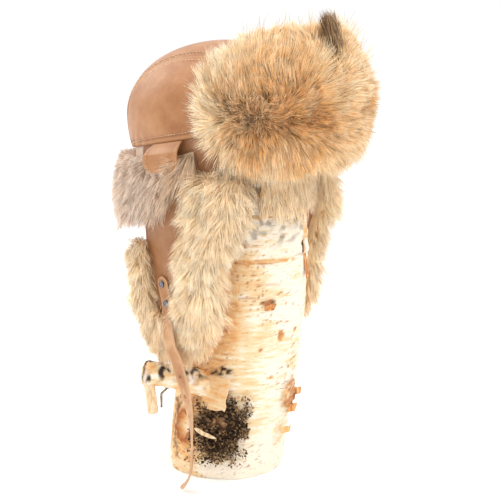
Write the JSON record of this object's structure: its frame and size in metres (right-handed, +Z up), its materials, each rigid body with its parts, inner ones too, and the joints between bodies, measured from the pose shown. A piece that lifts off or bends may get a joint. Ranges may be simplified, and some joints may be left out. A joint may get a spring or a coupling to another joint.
{
  "type": "aviator hat on birch log stand",
  "caption": "Leather aviator hat with a deep turned-up fur brim, fur-edged ear flaps and a hanging punched strap, shown on an upright birch log.",
  "frame": {"origin": "middle of the log's flat foot, on the floor", "axes": "+Z up; the fur brim faces -Y; the wearer's right ear flap is at -X"},
  "size_m": [0.2629, 0.3, 0.5222],
  "materials": {
    "tan_leather": "smooth and waxed, slightly mottled",
    "strap_leather": "smooth, with a raw cut edge",
    "rust_lining": "smooth rust-brown inner side",
    "golden_fur": "long golden-tan fur with dark guard hairs and cream patches",
    "cream_fur": "long cream fur",
    "grey_fur": "grey-beige fur with cream tips",
    "birch_bark": "peeling cream birch bark with orange tears and dark lichen",
    "old_metal": "dark antique metal"
  },
  "bodies": {
    "root": {"crown_strip": "tan_leather", "crown_side_right": "tan_leather", "crown_side_left": "tan_leather", "brim_fur": "golden_fur", "brow_fur": "grey_fur", "nape_band": "tan_leather", "nape_fur": "grey_fur", "tab_right": "tan_leather", "tab_left": "tan_leather", "ear_flap_right": "tan_leather", "ear_flap_left": "tan_leather", "ear_lining_right": "rust_lining", "ear_lining_left": "rust_lining", "ear_fur_right": "cream_fur", "ear_fur_left": "cream_fur", "strap_right": "strap_leather", "strap_left": "strap_leather", "rivet_right_1": "old_metal", "rivet_right_2": "old_metal", "rivet_left_1": "old_metal", "rivet_left_2": "old_metal", "buckle": "old_metal", "log": "birch_bark"}
  },
  "joints": []
}
